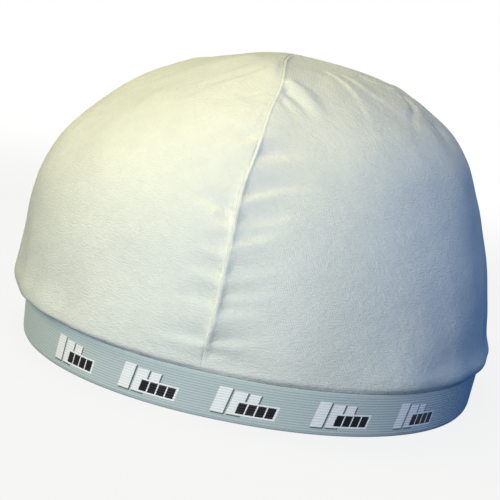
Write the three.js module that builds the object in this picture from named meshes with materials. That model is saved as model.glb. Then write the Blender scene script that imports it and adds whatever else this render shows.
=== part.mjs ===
// Stocking cap: a two-panel crown of smooth stretch cloth on a ribbed elastic head band.
// Millimetres, +Z up. The rim stands on the plane z = 0 and the front faces -Y.
// Left and right are as seen from the front, so right is +X.

import * as THREE from 'three';

// Head band, measured on the outside of its top edge
const bandHalfWidth = 77;
const bandHalfLength = 94.7;
const bandHeight = 13.6;
const bandThickness = 1.6;
// The elastic grips, so the rim is a little smaller than the top edge
const rimInset = 1.0;
const ribCount = 11;
const ribDepth = 0.35;
// The ends of the elastic lap over each other at the centre back
const bandJoinLength = 14;
const bandJoinThickness = 0.9;
// Where the join has faded out, as a share of its half length
const bandJoinFade = 1.35;

// Crown
const crownHeight = 89.3;
const crownOverhang = 5;
const crownFrontOverhang = 2;
const clothThickness = 1.2;
// How far the cloth runs down inside the band, where it is sewn
const crownLap = 9;
// Height above the band at which the cloth has turned out over the band's edge, and how far in it
// still is there, as a share of how far in it is sewn
const turnHeight = 1.7;
const turnInset = 0.35;
// Power of the plan outline on each side: 2 is an ellipse, and more is squarer
const planPowerLeft = 2.0;
const planPowerRight = 2.18;
// Centre of the form that folds are pushed away from, as a share of the crown's height
const bulgeHeight = 0.2;
// Share of the crown's height over which the seam and the folds fade in above the band
const foldFade = 0.1;

// Centre seam
const seamGrooveDepth = 0.9;
const seamGrooveWidth = 3.2;
const creaseDepth = 1.1;
const creaseWidth = 4.2;
const allowanceWidth = 6;
const allowanceOverlap = 1.2;
const allowanceThickness = 0.9;
// The allowance's free edge hangs this much lower than its sewn edge
const allowanceDrop = 0.6;

// Gap between sewn pieces
const clearance = 0.3;

// Mesh density
const columnsPerPanel = 25;
const rowsPerSection = 3;
// Share by which the columns crowd towards the seam
const columnCrowding = 0.5;

// Sections of the crown above its turn. Height is a share of crownHeight; left, right, front and
// back are shares of the crown's half width and half length; aside moves the section to the right
// as a share of its half width.
const crownSections = [
  { height: 0.045, left: 1.000, right: 0.965, front: 0.996, back: 0.996, aside: 0.000 },
  { height: 0.10, left: 0.996, right: 0.945, front: 1.000, back: 1.000, aside: 0.000 },
  { height: 0.20, left: 0.990, right: 0.930, front: 0.998, back: 0.995, aside: 0.000 },
  { height: 0.34, left: 0.980, right: 0.898, front: 0.980, back: 0.972, aside: 0.000 },
  { height: 0.47, left: 0.948, right: 0.854, front: 0.948, back: 0.930, aside: -0.004 },
  { height: 0.60, left: 0.876, right: 0.801, front: 0.892, back: 0.864, aside: -0.007 },
  { height: 0.72, left: 0.766, right: 0.728, front: 0.809, back: 0.774, aside: 0.002 },
  { height: 0.82, left: 0.634, right: 0.626, front: 0.701, back: 0.665, aside: 0.008 },
  { height: 0.90, left: 0.474, right: 0.492, front: 0.566, back: 0.535, aside: 0.006 },
  { height: 0.955, left: 0.276, right: 0.362, front: 0.415, back: 0.390, aside: -0.018 },
  { height: 0.988, left: 0.125, right: 0.225, front: 0.242, back: 0.225, aside: -0.044 },
  { height: 1.000, left: 0.000, right: 0.000, front: 0.000, back: 0.000, aside: -0.060 },
];

// Grooves in the cloth: puckers that start at the seam, and folds that start near the apex. Each
// runs from one place to another and fades out on the way. Around is in degrees from the front
// seam, height a share of crownHeight, wide a share of creaseWidth and depth of creaseDepth.
const creases = [
  { side: 1, around: 1, height: 0.640, toAround: 16, toHeight: 0.700, wide: 0.9, depth: -0.9 },
  { side: 1, around: 1, height: 0.545, toAround: 18, toHeight: 0.600, wide: 0.9, depth: -1.0 },
  { side: 1, around: 1, height: 0.455, toAround: 18, toHeight: 0.510, wide: 0.8, depth: -0.9 },
  { side: 1, around: 1, height: 0.362, toAround: 16, toHeight: 0.415, wide: 0.8, depth: -0.8 },
  { side: 1, around: 1, height: 0.236, toAround: 15, toHeight: 0.280, wide: 0.8, depth: -0.8 },
  { side: 1, around: 1, height: 0.136, toAround: 13, toHeight: 0.178, wide: 0.8, depth: -0.6 },
  { side: -1, around: 1, height: 0.545, toAround: 15, toHeight: 0.570, wide: 0.9, depth: -1.0 },
  { side: -1, around: 1, height: 0.350, toAround: 11, toHeight: 0.335, wide: 0.8, depth: -0.7 },
  { side: -1, around: 1, height: 0.250, toAround: 14, toHeight: 0.215, wide: 0.9, depth: -0.8 },
  { side: -1, around: 1, height: 0.128, toAround: 10, toHeight: 0.128, wide: 0.8, depth: -0.7 },
  { side: 1, around: 6, height: 0.925, toAround: 13, toHeight: 0.760, wide: 1.3, depth: 1.0 },
  { side: 1, around: 2, height: 0.885, toAround: 12, toHeight: 0.790, wide: 1.0, depth: -1.2 },
  { side: 1, around: 42, height: 0.965, toAround: 30, toHeight: 0.720, wide: 1.1, depth: 1.0 },
  { side: 1, around: 85, height: 0.965, toAround: 62, toHeight: 0.850, wide: 1.3, depth: -1.2 },
  { side: 1, around: 110, height: 0.940, toAround: 88, toHeight: 0.780, wide: 1.4, depth: 1.0 },
  { side: 1, around: 135, height: 0.940, toAround: 128, toHeight: 0.740, wide: 1.3, depth: -0.9 },
  { side: -1, around: 10, height: 0.950, toAround: 30, toHeight: 0.800, wide: 1.1, depth: -0.9 },
  { side: -1, around: 34, height: 0.925, toAround: 42, toHeight: 0.700, wide: 1.3, depth: -0.8 },
  { side: -1, around: 74, height: 0.760, toAround: 60, toHeight: 0.600, wide: 1.2, depth: -0.9 },
  { side: -1, around: 130, height: 0.930, toAround: 122, toHeight: 0.740, wide: 1.4, depth: -0.9 },
];

const crownHalfWidth = bandHalfWidth + crownOverhang;
const crownHalfLength = bandHalfLength + crownFrontOverhang;
const bulgeCentre = new THREE.Vector3(0, 0, bandHeight + bulgeHeight * crownHeight);
const lapInset = bandThickness + clearance;

// Smooth hump of height 1 at 0 that is gone beyond about 2
const hump = (x) => Math.exp(-x * x);

// Smooth step from 0 at a to 1 at b
const ease = (a, b, x) => THREE.MathUtils.smoothstep((x - a) / (b - a), 0, 1);

// Columns' angles from the front seam to the back seam, closer together near the seams
const columnAngles = Array.from({ length: columnsPerPanel + 1 }, (_, column) => {
  const share = column / columnsPerPanel;
  return Math.PI * share - columnCrowding * Math.sin(2 * Math.PI * share) / 2;
});

// Distance from the axis to a rounded plan outline, at an angle from the front
function planRadius(halfWidth, halfLength, angle) {
  const across = Math.abs(Math.sin(angle)) / halfWidth;
  const along = Math.abs(Math.cos(angle)) / halfLength;
  const power = Math.sin(angle) > 0 ? planPowerRight : planPowerLeft;
  return (across ** power + along ** power) ** (-1 / power);
}

// Point on the band's plan outline moved inwards, at a height
function bandPoint(angle, inset, z) {
  const grip = rimInset * (1 - z / bandHeight);
  const radius = planRadius(bandHalfWidth, bandHalfLength, angle) - inset - grip;
  return new THREE.Vector3(radius * Math.sin(angle), -radius * Math.cos(angle), z);
}

// Shares of the crown's sections at any height, between the rows of the table
function sectionAt(height) {
  const next = Math.max(1, crownSections.findIndex((section) => section.height >= height));
  const [below, above] = [crownSections[next - 1], crownSections[next]];
  const share = (height - below.height) / (above.height - below.height);
  const between = (name) => THREE.MathUtils.lerp(below[name], above[name], share);
  return Object.fromEntries(Object.keys(below).map((name) => [name, between(name)]));
}

// Point on the crown's smooth form, at an angle from the front seam on one side
function crownPoint(side, angle, height) {
  const section = sectionAt(height);
  const halfWidth = crownHalfWidth * (side > 0 ? section.right : section.left);
  const halfLength = crownHalfLength * (Math.cos(angle) > 0 ? section.front : section.back);
  const radius = height < 1 ? planRadius(halfWidth, halfLength, side * angle) : 0;
  return new THREE.Vector3(
    crownHalfWidth * section.aside + side * radius * Math.sin(angle),
    -radius * Math.cos(angle),
    bandHeight + crownHeight * height,
  );
}

// Sections of one column of the crown, from the lap's lower edge to the apex
function columnSections(side, angle) {
  return [
    bandPoint(side * angle, lapInset, bandHeight - crownLap),
    bandPoint(side * angle, lapInset, bandHeight),
    bandPoint(side * angle, lapInset * turnInset, bandHeight + turnHeight),
    ...crownSections.map((section) => crownPoint(side, angle, section.height)),
  ];
}

// Sections of a column below the table's, row count of a panel, and the row at which the seam
// allowance starts, at the second row of the table
const lapSections = 3;
const panelRows = (lapSections + crownSections.length - 1) * rowsPerSection;
const allowanceRow = (lapSections + 1) * rowsPerSection;

// The creases as straight runs between two places on the smooth form
const creaseRuns = creases.map((crease) => {
  const place = (degrees, height) =>
    crownPoint(crease.side, THREE.MathUtils.degToRad(degrees), height);
  const start = place(crease.around, crease.height);
  const run = place(crease.toAround, crease.toHeight).sub(start);
  return { side: crease.side, start, run, wide: crease.wide, depth: crease.depth };
});

// How far the cloth lies in or out of its smooth form, at a point of one side
function relief(side, angle, point, outwards) {
  const fromSeam = Math.hypot(point.x, point.y) * Math.sin(angle);
  const seamHold = hump(fromSeam / seamGrooveWidth);
  let depth = -seamGrooveDepth * seamHold;
  for (const crease of creaseRuns) {
    if (crease.side !== side) continue;
    const away = point.clone().sub(crease.start);
    const share = THREE.MathUtils.clamp(away.dot(crease.run) / crease.run.lengthSq(), 0, 1);
    away.addScaledVector(crease.run, -share);
    away.addScaledVector(outwards, -away.dot(outwards));
    const across = away.length() / (creaseWidth * crease.wide);
    depth += creaseDepth * crease.depth * hump(across) * (1 - share) * (1 - seamHold);
  }
  return depth * ease(0, foldFade, (point.z - bandHeight) / crownHeight);
}

// Outside of one column of a panel, with its folds, as one point for each row
function outerColumn(side, angle) {
  const sections = columnSections(side, angle);
  const [before, apex] = sections.slice(-2);
  const beyond = new THREE.Vector3(2 * apex.x - before.x, 2 * apex.y - before.y, before.z);
  const curve = new THREE.CatmullRomCurve3([...sections, beyond], false, 'centripetal');
  return Array.from({ length: panelRows + 1 }, (_, row) => {
    const point = curve.getPoint(row / (panelRows + rowsPerSection));
    const outwards = point.clone().sub(bulgeCentre).normalize();
    point.addScaledVector(outwards, relief(side, angle, point, outwards));
    return point.setX(point.x + side * clearance / 2);
  });
}

// Outward normal of a grid of points at one place, from its neighbours
function gridNormal(grid, column, row, side) {
  const along = new THREE.Vector3().subVectors(
    grid[Math.min(column + 1, grid.length - 1)][row],
    grid[Math.max(column - 1, 0)][row],
  );
  const up = new THREE.Vector3().subVectors(
    grid[column][Math.min(row + 1, panelRows)],
    grid[column][Math.max(row - 1, 0)],
  );
  return along.cross(up).multiplyScalar(side).normalize();
}

// Inside of a panel: the outside moved inwards by the cloth's thickness
function innerGrid(outer, side) {
  return outer.map((points, column) => points.map((point, row) => {
    const atApex = row === panelRows;
    const atSeam = column === 0 || column === columnsPerPanel;
    const normal = atApex ? new THREE.Vector3(0, 0, 1) : gridNormal(outer, column, row, side);
    if (atSeam) normal.setX(0).normalize();
    return point.clone().addScaledVector(normal, -clothThickness);
  }));
}

// Closed geometry of points and triangles given as index triples
function meshOf(points, triangles) {
  const geometry = new THREE.BufferGeometry();
  const positions = points.flatMap((point) => [point.x, point.y, point.z]);
  geometry.setAttribute('position', new THREE.Float32BufferAttribute(positions, 3));
  geometry.setIndex(triangles.flat());
  geometry.computeVertexNormals();
  return geometry;
}

// Wall between an outer and an inner grid whose last row closes in one point, the apex
function domeWall(outer, inner, side) {
  const columns = outer.length - 1;
  const rows = outer[0].length - 1;
  const points = [];
  const layers = [outer, inner].map((grid) => {
    const numbers = grid.map((line) => line.slice(0, rows).map((point) => points.push(point) - 1));
    const apex = points.push(grid[0][rows]) - 1;
    return numbers.map((line) => [...line, apex]);
  });
  const triangles = [];
  const face = (a, b, c) => triangles.push(side > 0 ? [a, b, c] : [a, c, b]);
  const quad = (a, b, c, d) => {
    if (a !== b && b !== c) face(a, b, c);
    if (c !== d && d !== a) face(a, c, d);
  };
  const [out, inn] = layers;
  for (let column = 0; column < columns; column += 1) {
    for (let row = 0; row < rows; row += 1) {
      const next = row + 1;
      quad(out[column][row], out[column + 1][row], out[column + 1][next], out[column][next]);
      quad(inn[column][row], inn[column][next], inn[column + 1][next], inn[column + 1][row]);
    }
    quad(out[column][0], inn[column][0], inn[column + 1][0], out[column + 1][0]);
  }
  for (let row = 0; row < rows; row += 1) {
    const next = row + 1;
    quad(out[0][row], out[0][next], inn[0][next], inn[0][row]);
    quad(out[columns][row], inn[columns][row], inn[columns][next], out[columns][next]);
  }
  return meshOf(points, triangles);
}

// Solid swept along stations, each a ring of as many points; closed on itself or capped
function sweptSolid(stations, closed) {
  const count = stations[0].length;
  const points = stations.flat();
  const triangles = [];
  const spans = closed ? stations.length : stations.length - 1;
  for (let station = 0; station < spans; station += 1) {
    const here = station * count;
    const there = ((station + 1) % stations.length) * count;
    for (let corner = 0; corner < count; corner += 1) {
      const next = (corner + 1) % count;
      triangles.push([here + corner, there + corner, there + next]);
      triangles.push([here + corner, there + next, here + next]);
    }
  }
  if (!closed) {
    const last = (stations.length - 1) * count;
    for (let corner = 1; corner < count - 1; corner += 1) {
      triangles.push([0, corner, corner + 1]);
      triangles.push([last, last + corner + 1, last + corner]);
    }
  }
  return meshOf(points, triangles);
}

// Band's section as insets and heights: ribbed outside going up, plain inside going down
function bandProfile() {
  const pitch = bandHeight / ribCount;
  const profile = [{ inset: ribDepth, z: 0 }];
  for (let rib = 0; rib < ribCount; rib += 1) {
    profile.push({ inset: 0, z: (rib + 0.5) * pitch });
    profile.push({ inset: ribDepth, z: (rib + 1) * pitch });
  }
  profile.push({ inset: bandThickness, z: bandHeight });
  profile.push({ inset: bandThickness, z: 0 });
  return profile;
}

// Head band, with the lap of its ends at the back
function headBandGeometry() {
  const profile = bandProfile();
  const back = columnAngles.slice(1, -1).map((angle) => -angle).reverse();
  const angles = [...columnAngles, ...back.map((angle) => angle + 2 * Math.PI)];
  const joinHalfAngle = bandJoinLength / 2 / bandHalfLength;
  angles.sort((a, b) => a - b);
  const stations = angles.map((angle) => {
    const fromBack = Math.abs(angle - Math.PI);
    const join = bandJoinThickness * (1 - ease(joinHalfAngle, joinHalfAngle * bandJoinFade, fromBack));
    const outside = (inset) => (inset < bandThickness ? inset - join : inset);
    return profile.map(({ inset, z }) => bandPoint(angle, outside(inset), z));
  });
  return sweptSolid(stations, true);
}

// Seam allowance pressed to the left side, inside the crown from the front overhang to the back
function seamAllowanceGeometry() {
  const seamLine = (angle) => outerColumn(1, angle).slice(allowanceRow);
  const line = [...seamLine(0), ...seamLine(Math.PI).reverse().slice(1)];
  const stations = line.map((point, place) => {
    const before = line[Math.max(place - 1, 0)];
    const after = line[Math.min(place + 1, line.length - 1)];
    const inwards = new THREE.Vector3(0, after.z - before.z, before.y - after.y).normalize();
    const near = clothThickness + clearance;
    const corner = (across, depth) => point.clone()
      .addScaledVector(inwards, depth)
      .add(new THREE.Vector3(across - clearance / 2, 0, 0));
    return [
      corner(-allowanceWidth, near + allowanceDrop),
      corner(-allowanceWidth, near + allowanceDrop + allowanceThickness),
      corner(allowanceOverlap, near + allowanceThickness),
      corner(allowanceOverlap, near),
    ];
  });
  return sweptSolid(stations, false);
}

// One half of the crown
function crownPanelGeometry(side) {
  const outer = columnAngles.map((angle) => outerColumn(side, angle));
  return domeWall(outer, innerGrid(outer, side), side);
}

const stretchCloth = new THREE.MeshStandardMaterial({ color: 0xe9ebdf, roughness: 0.55 });
const ribbedElastic = new THREE.MeshStandardMaterial({ color: 0xb7c2c3, roughness: 0.75 });

function namedMesh(name, geometry, material) {
  const mesh = new THREE.Mesh(geometry, material);
  mesh.name = name;
  return mesh;
}

const stockingCap = new THREE.Group();
stockingCap.add(namedMesh('crown_panel_left', crownPanelGeometry(-1), stretchCloth));
stockingCap.add(namedMesh('crown_panel_right', crownPanelGeometry(1), stretchCloth));
stockingCap.add(namedMesh('crown_seam_allowance', seamAllowanceGeometry(), stretchCloth));
stockingCap.add(namedMesh('head_band', headBandGeometry(), ribbedElastic));

// The cap stands on its rim with its box centred over the origin
const box = new THREE.Box3().setFromObject(stockingCap);
stockingCap.position.set(-(box.min.x + box.max.x) / 2, -(box.min.y + box.max.y) / 2, -box.min.z);

export default stockingCap;
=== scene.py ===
"""Stocking cap: smooth stretch cloth in two panels on a ribbed elastic head band.

Metres, +Z up. The rim stands on the floor and the front faces -Y. Left and right are as seen from
the front, so right is +X.
"""
import logging
import math
from dataclasses import dataclass, field
from enum import Enum
from typing import NamedTuple

import bpy
import numpy as np
from mathutils import Matrix, Vector


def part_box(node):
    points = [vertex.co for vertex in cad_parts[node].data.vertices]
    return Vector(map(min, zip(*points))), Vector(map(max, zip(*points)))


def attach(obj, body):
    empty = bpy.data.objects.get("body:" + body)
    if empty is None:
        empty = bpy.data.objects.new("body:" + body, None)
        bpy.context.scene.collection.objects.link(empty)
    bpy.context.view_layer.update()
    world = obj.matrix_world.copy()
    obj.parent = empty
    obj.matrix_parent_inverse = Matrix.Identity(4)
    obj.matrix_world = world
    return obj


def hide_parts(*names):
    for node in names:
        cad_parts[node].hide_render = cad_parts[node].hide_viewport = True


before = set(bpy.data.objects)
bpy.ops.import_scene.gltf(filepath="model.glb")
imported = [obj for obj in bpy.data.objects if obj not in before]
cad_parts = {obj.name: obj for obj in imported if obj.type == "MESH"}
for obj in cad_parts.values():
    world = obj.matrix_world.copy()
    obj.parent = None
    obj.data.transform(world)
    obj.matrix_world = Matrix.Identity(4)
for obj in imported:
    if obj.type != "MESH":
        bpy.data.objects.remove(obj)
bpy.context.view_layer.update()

LOG = logging.getLogger("stocking_cap")
MM = 0.001
# The plan map of a cloth holds lengths along it in this unit
PLAN_UNIT = 0.1
BODY = "root"
LEFT, RIGHT = -1, 1


def hump(x: np.ndarray) -> np.ndarray:
    """Bell curve: e to the power of minus x squared."""
    return np.exp(-x * x)


def ease(low: float, high: float, x: np.ndarray) -> np.ndarray:
    """Smooth step from 0 at low to 1 at high: three times the share squared less twice its cube."""
    share = np.clip((x - low) / (high - low), 0, 1)
    return share * share * (3 - 2 * share)


def lengthwise(vectors: np.ndarray) -> np.ndarray:
    """Vectors divided by their lengths."""
    return vectors / np.maximum(np.linalg.norm(vectors, axis=-1, keepdims=True), 1e-12)


def swell(points: np.ndarray, size: float, seed: int, waves: int = 28) -> np.ndarray:
    """Soft random hills over points in space.

    The value is the sum of sine waves in random directions, of wave lengths around size, divided
    by the square root of half their number, so that it is mostly between -2 and 2.

    Args:
        points: Points, with their coordinates last.
        size: Middle wave length in metres.
        seed: Seed of the random directions.
        waves: How many waves are added.

    Returns:
        One value for each point.
    """
    draw = np.random.default_rng(seed)
    directions = lengthwise(draw.normal(size=(waves, 3)))
    rates = 2 * math.pi / (size * draw.uniform(0.7, 1.5, waves))
    starts = draw.uniform(0, 2 * math.pi, waves)
    phases = points @ (directions * rates[:, None]).T + starts
    return np.sin(phases).sum(-1) / math.sqrt(waves / 2)


def spline_rows(sections: np.ndarray, rows: list[int]) -> np.ndarray:
    """Rows of points on centripetal Catmull-Rom curves through the sections.

    Between two sections the curve is the cubic whose ends and slopes come from the four sections
    around, with the square root of the distance between neighbours as the step.

    Args:
        sections: Section points of each column, as (sections, columns, 3). The last one lies
            beyond the end of the curve.
        rows: How many rows each span between two sections takes.

    Returns:
        Points as (rows, columns, 3), from the first section to the last but one.
    """
    before = 2 * sections[:1] - sections[1:2]
    points = np.concatenate([before, sections])
    steps = np.linalg.norm(np.diff(points, axis=0), axis=-1, keepdims=True) ** 0.5
    made = []
    for span, count in enumerate(rows):
        a, b, c, d = points[span:span + 4]
        first, middle, last = steps[span:span + 3]
        leave = ((b - a) / first - (c - a) / (first + middle) + (c - b) / middle) * middle
        arrive = ((c - b) / middle - (d - b) / (middle + last) + (d - c) / last) * middle
        share = (np.arange(count) / count)[:, None, None]
        made.append(b + share * leave + share ** 2 * (3 * (c - b) - 2 * leave - arrive)
                    + share ** 3 * (leave + arrive - 2 * (c - b)))
    return np.concatenate([*made, sections[-2:-1]])


def grid_normals(grid: np.ndarray, side: int) -> np.ndarray:
    """Outward normals of a grid: cross product of its slopes along and up, turned by the side."""
    up, along = np.gradient(grid, axis=0), np.gradient(grid, axis=1)
    return lengthwise(np.cross(along, up) * side)


def arc_lengths(grid: np.ndarray, axis: int) -> np.ndarray:
    """Length walked along one axis of a grid of points, from its first row or column."""
    steps = np.linalg.norm(np.diff(grid, axis=axis), axis=-1)
    start = np.zeros_like(np.take(steps, [0], axis=axis))
    return np.concatenate([start, np.cumsum(steps, axis=axis)], axis=axis)


class Piece:
    """A visible piece of the cap as one closed mesh, with a plan map of the lengths along it."""

    def __init__(self, name: str) -> None:
        """Starts an empty piece.

        Args:
            name: Name of the object.
        """
        self.name = name
        self.points: list[np.ndarray] = []
        self.plans: list[np.ndarray] = []
        self.faces: list[np.ndarray] = []
        self.count = 0

    def add_points(self, points: np.ndarray, plan: np.ndarray) -> np.ndarray:
        """Adds points with their places on the plan map.

        Args:
            points: Points of any arrangement, with coordinates last.
            plan: Lengths along and up, in metres, in the same arrangement.

        Returns:
            The points' numbers, in the same arrangement.
        """
        shape = points.shape[:-1]
        self.points.append(points.reshape(-1, 3))
        self.plans.append(np.broadcast_to(plan, shape + (2,)).reshape(-1, 2) / PLAN_UNIT)
        numbers = np.arange(self.count, self.count + self.points[-1].shape[0]).reshape(shape)
        self.count += numbers.size
        return numbers

    def add_faces(self, *corners: np.ndarray, turned: bool = False) -> None:
        """Adds faces whose corners are the entries of arrays of point numbers.

        Args:
            corners: Three or four arrays of the same shape, anticlockwise from outside.
            turned: Whether the corners are given clockwise.
        """
        order = corners[::-1] if turned else corners
        self.faces.append(np.stack([corner.ravel() for corner in order], -1))

    def add_skin(self, numbers: np.ndarray, turned: bool = False) -> None:
        """Adds the quads between the neighbours of a grid of point numbers.

        Args:
            numbers: Point numbers as (rows, columns).
            turned: Whether the skin faces the other way.
        """
        self.add_faces(numbers[:-1, :-1], numbers[:-1, 1:], numbers[1:, 1:], numbers[1:, :-1],
                       turned=turned)

    def add_wall(self, outer: np.ndarray, inner: np.ndarray, plan: np.ndarray,
                 turned: bool = False) -> tuple[np.ndarray, np.ndarray]:
        """Adds two skins and the rims between them, all but the rim along the last row.

        The inside takes every second row and column, so both counts of points are odd.

        Args:
            outer: Outside as (rows, columns, 3).
            inner: Inside in the same arrangement.
            plan: Lengths along and up at each place.
            turned: Whether the columns run clockwise as seen from above.

        Returns:
            Point numbers of the outer and the inner skin.
        """
        out, inn = self.add_points(outer, plan), self.add_points(inner[::2, ::2], plan[::2, ::2])
        self.add_skin(out, turned)
        self.add_skin(inn, not turned)
        self.add_rim(out[0], inn[0], turned)
        self.add_rim(out[:, 0], inn[:, 0], not turned)
        self.add_rim(out[:, -1], inn[:, -1], turned)
        return out, inn

    def add_rim(self, out: np.ndarray, inn: np.ndarray, turned: bool = False) -> None:
        """Adds faces between an edge of the outside and the inside's edge of half its places."""
        self.add_faces(out[2::2], out[1::2], out[:-2:2], inn[:-1], inn[1:], turned=turned)

    def add_tubes(self, paths: np.ndarray, radius: float, sides: int = 6) -> None:
        """Adds round threads along paths, with closed ends.

        A ring of points stands across the path at each place: its centre plus the radius times
        the cosine and sine of an angle along two directions square to the path.

        Args:
            paths: Points as (threads, places, 3).
            radius: Radius of a thread.
            sides: Sides of its section.
        """
        forward = lengthwise(np.gradient(paths, axis=1))
        guide = np.where(np.abs(forward[..., 2:]) < 0.8, [0.0, 0.0, 1.0], [1.0, 0.0, 0.0])
        across = lengthwise(np.cross(forward, guide))
        upward = np.cross(across, forward)
        angles = np.arange(sides) * 2 * math.pi / sides
        rings = (paths[:, :, None] + radius * (np.cos(angles)[:, None] * across[:, :, None]
                                               + np.sin(angles)[:, None] * upward[:, :, None]))
        walked = arc_lengths(paths, 1)
        plan = np.stack(np.broadcast_arrays(walked[..., None], angles * radius), -1)
        numbers = self.add_points(rings, plan)
        onward = np.roll(numbers, -1, axis=2)
        self.add_faces(numbers[:, :-1], numbers[:, 1:], onward[:, 1:], onward[:, :-1])
        for place, turned in ((0, False), (-1, True)):
            ring = numbers[:, place]
            for corner in range(1, sides - 1):
                self.add_faces(ring[:, 0], ring[:, corner], ring[:, corner + 1], turned=turned)

    def build(self, origin: Vector) -> bpy.types.Object:
        """Makes the object.

        Args:
            origin: Where the middle of the band's rim stands in the frame.

        Returns:
            The object, smooth but for its sharp rims.
        """
        points = np.concatenate(self.points) + np.array(origin)
        plan = np.concatenate(self.plans)
        mesh = bpy.data.meshes.new(self.name)
        mesh.from_pydata(points, [], [face for faces in self.faces for face in faces.tolist()])
        mesh.update()
        corners = np.empty(len(mesh.loops), np.int32)
        mesh.loops.foreach_get("vertex_index", corners)
        mesh.uv_layers.new(name="plan").data.foreach_set("uv", plan[corners].ravel())
        mesh.polygons.foreach_set("use_smooth", np.ones(len(mesh.polygons), bool))
        mesh.set_sharp_from_angle(angle=math.radians(50))
        piece = bpy.data.objects.new(self.name, mesh)
        bpy.context.scene.collection.objects.link(piece)
        return piece


class Signal:
    """A number on a socket of a material's graph. Operators add the Math nodes that work it out."""

    def __init__(self, graph: "Graph", socket: bpy.types.NodeSocket) -> None:
        """Wraps a socket of a graph."""
        self.graph = graph
        self.socket = socket

    def __add__(self, other: "Signal | float") -> "Signal":
        """Sum."""
        return self.graph.math("ADD", self, other)

    def __sub__(self, other: "Signal | float") -> "Signal":
        """Difference."""
        return self.graph.math("SUBTRACT", self, other)

    def __rsub__(self, other: float) -> "Signal":
        """Number less this."""
        return self.graph.math("SUBTRACT", other, self)

    def __mul__(self, other: "Signal | float") -> "Signal":
        """Product."""
        return self.graph.math("MULTIPLY", self, other)

    def __truediv__(self, other: "Signal | float") -> "Signal":
        """Quotient."""
        return self.graph.math("DIVIDE", self, other)

    __radd__ = __add__
    __rmul__ = __mul__

    def size(self) -> "Signal":
        """Value without its sign."""
        return self.graph.math("ABSOLUTE", self)

    def sine(self) -> "Signal":
        """Sine of an angle in radians."""
        return self.graph.math("SINE", self)

    def most(self, other: "Signal | float") -> "Signal":
        """Larger of two."""
        return self.graph.math("MAXIMUM", self, other)

    def within(self, pitch: float) -> "Signal":
        """Place within a repeat of the pitch, measured from its middle."""
        return self.graph.math("FLOORED_MODULO", self, pitch) - pitch / 2

    def step(self, low: float, high: float) -> "Signal":
        """Smooth step from 0 at low to 1 at high, or falling where high is the smaller."""
        turned = high < low
        ends = {"From Min": min(low, high), "From Max": max(low, high),
                "To Min": float(turned), "To Max": float(not turned)}
        node = self.graph.node("MapRange", {"interpolation_type": "SMOOTHSTEP"},
                               {"Value": self, **ends})
        return self.graph.signal(node, "Result")


class Graph:
    """Node graph of one material."""

    def __init__(self, name: str) -> None:
        """Starts a material with an empty graph.

        Args:
            name: Name of the material.
        """
        self.material = bpy.data.materials.new(name)
        self.material.use_nodes = True
        self.tree = self.material.node_tree
        self.tree.nodes.clear()

    def node(self, kind: str, settings: dict[str, object] | None = None,
             inputs: dict[str | int, object] | None = None) -> bpy.types.Node:
        """Adds a node.

        Args:
            kind: Node type without its ShaderNode prefix.
            settings: Properties of the node, set first.
            inputs: Values, signals or sockets for its inputs, by name or number.

        Returns:
            The node.
        """
        made = self.tree.nodes.new("ShaderNode" + kind)
        for name, value in (settings or {}).items():
            setattr(made, name, value)
        for place, value in (inputs or {}).items():
            socket = value.socket if isinstance(value, Signal) else value
            if isinstance(socket, bpy.types.NodeSocket):
                self.tree.links.new(socket, made.inputs[place])
            else:
                made.inputs[place].default_value = value
        return made

    def signal(self, node: bpy.types.Node, output: str | int = 0) -> Signal:
        """Wraps an output of a node."""
        return Signal(self, node.outputs[output])

    def math(self, operation: str, *terms: "Signal | float") -> Signal:
        """Adds a Math node on the terms."""
        return self.signal(self.node("Math", {"operation": operation}, dict(enumerate(terms))))

    def mix(self, share: Signal | float, first: object, second: object) -> bpy.types.NodeSocket:
        """Colour between two colours, by a share from 0 to 1."""
        made = self.node("Mix", {"data_type": "RGBA"}, {0: share, 6: first, 7: second})
        return made.outputs[2]

    def plan(self) -> tuple[Signal, Signal]:
        """Lengths along and up the piece's plan map, in millimetres."""
        parts = self.node("SeparateXYZ", {}, {0: self.node("UVMap", {"uv_map": "plan"}).outputs[0]})
        scale = PLAN_UNIT / MM
        return self.signal(parts, "X") * scale, self.signal(parts, "Y") * scale

    def noise(self, vector: bpy.types.NodeSocket, scale: float, detail: float = 2.0,
              roughness: float = 0.5) -> Signal:
        """Noise from 0 to 1 at a vector."""
        made = self.node("TexNoise", {}, {"Vector": vector, "Scale": scale, "Detail": detail,
                                          "Roughness": roughness})
        return self.signal(made, "Fac")

    def vector(self, x: Signal | float, y: Signal | float, z: Signal | float = 0.0
               ) -> bpy.types.NodeSocket:
        """Vector of three signals."""
        return self.node("CombineXYZ", {}, {0: x, 1: y, 2: z}).outputs[0]

    def objectwise(self) -> bpy.types.NodeSocket:
        """Object coordinates."""
        return self.node("TexCoord").outputs["Object"]

    def bump(self, height: Signal, distance: float, strength: float) -> bpy.types.NodeSocket:
        """Normal of a surface raised by a height."""
        made = self.node("Bump", {}, {"Height": height, "Distance": distance,
                                      "Strength": strength})
        return made.outputs["Normal"]

    def finish(self, inputs: dict[str | int, object]) -> bpy.types.Material:
        """Adds the shader with its inputs and returns the material."""
        shader = self.node("BsdfPrincipled", {}, inputs)
        self.node("OutputMaterial", {}, {"Surface": shader.outputs[0]})
        return self.material


Colour = tuple[float, float, float, float]


def tone(red: float, green: float, blue: float) -> Colour:
    """Opaque colour of three linear parts."""
    return (red, green, blue, 1.0)


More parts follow.
